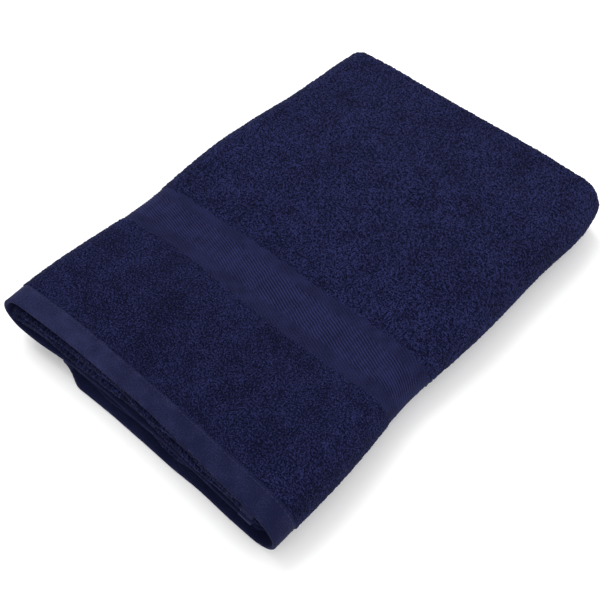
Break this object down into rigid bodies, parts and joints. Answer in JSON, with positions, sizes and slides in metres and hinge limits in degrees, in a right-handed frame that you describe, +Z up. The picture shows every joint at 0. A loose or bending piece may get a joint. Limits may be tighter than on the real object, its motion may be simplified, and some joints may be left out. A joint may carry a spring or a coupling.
{
  "type": "folded bath towel",
  "caption": "Bath towel of cotton terry with a dobby border and hemmed ends, quartered and folded in thirds for the shelf; its cover third turns back on the right-hand fold.",
  "frame": {"origin": "centre of the folded towel's footprint, on the surface that it lies on", "axes": "+Z up; +Y along the folded length, from the near end with the hems to the far fold; +X across the folded width, from the fold of the tucked third to the fold that the cover turns on"},
  "size_m": [0.223, 0.343, 0.0393],
  "materials": {
    "terry": "navy cotton terry, dense uncut loops on both faces",
    "dobby_weave": "navy flat border band with fine ribs between two smooth strips, slightly sheeny",
    "hem_weave": "navy smooth flat weave, turned and sewn",
    "sewing_thread": "navy sewing thread, lockstitch"
  },
  "bodies": {
    "bottom_third": {"bottom_leaf1_dobby_border": "dobby_weave", "bottom_leaf1_end_hem": "hem_weave", "bottom_leaf1_end_hem_seam": "sewing_thread", "bottom_leaf1_end_terry": "terry", "bottom_leaf2_dobby_border": "dobby_weave", "bottom_leaf2_end_hem": "hem_weave", "bottom_leaf2_end_hem_seam": "sewing_thread", "bottom_leaf2_end_terry": "terry", "bottom_main_terry": "terry", "bottom_side_hem": "hem_weave", "bottom_side_seam": "sewing_thread", "right_wrap_lower_leaf1_dobby_border": "dobby_weave", "right_wrap_lower_leaf1_end_hem": "hem_weave", "right_wrap_lower_leaf1_end_terry": "terry", "right_wrap_lower_leaf1_main_terry": "terry", "right_wrap_lower_leaf2": "terry", "right_wrap_lower_leaf3": "terry", "right_wrap_lower_leaf4": "terry"},
    "cover": {"left_wrap_leaf1_dobby_border": "dobby_weave", "left_wrap_leaf1_end_hem": "hem_weave", "left_wrap_leaf1_end_terry": "terry", "left_wrap_leaf1_main_terry": "terry", "left_wrap_leaf2": "terry", "left_wrap_leaf3": "terry", "left_wrap_leaf4": "terry", "right_wrap_upper_leaf1_dobby_border": "dobby_weave", "right_wrap_upper_leaf1_end_hem": "hem_weave", "right_wrap_upper_leaf1_end_terry": "terry", "right_wrap_upper_leaf1_main_terry": "terry", "right_wrap_upper_leaf2": "terry", "right_wrap_upper_leaf3": "terry", "right_wrap_upper_leaf4": "terry", "top_leaf1_dobby_border": "dobby_weave", "top_leaf1_end_hem": "hem_weave", "top_leaf1_end_hem_seam": "sewing_thread", "top_leaf1_end_terry": "terry", "top_leaf2_dobby_border": "dobby_weave", "top_leaf2_end_hem": "hem_weave", "top_leaf2_end_hem_seam": "sewing_thread", "top_leaf2_end_terry": "terry", "top_main_terry": "terry", "tucked_leaf1_dobby_border": "dobby_weave", "tucked_leaf1_end_hem": "hem_weave", "tucked_leaf1_end_hem_seam": "sewing_thread", "tucked_leaf1_end_terry": "terry", "tucked_leaf2_dobby_border": "dobby_weave", "tucked_leaf2_end_hem": "hem_weave", "tucked_leaf2_end_hem_seam": "sewing_thread", "tucked_leaf2_end_terry": "terry", "tucked_main_terry": "terry", "tucked_side_hem": "hem_weave", "tucked_side_seam": "sewing_thread"}
  },
  "joints": [
    {"name": "cover_fold", "type": "hinge", "parent": "bottom_third", "child": "cover", "pos_m": [0.11165, 0, 0.01965], "axis": [0, 1, 0], "range_deg": [0, 180]}
  ]
}
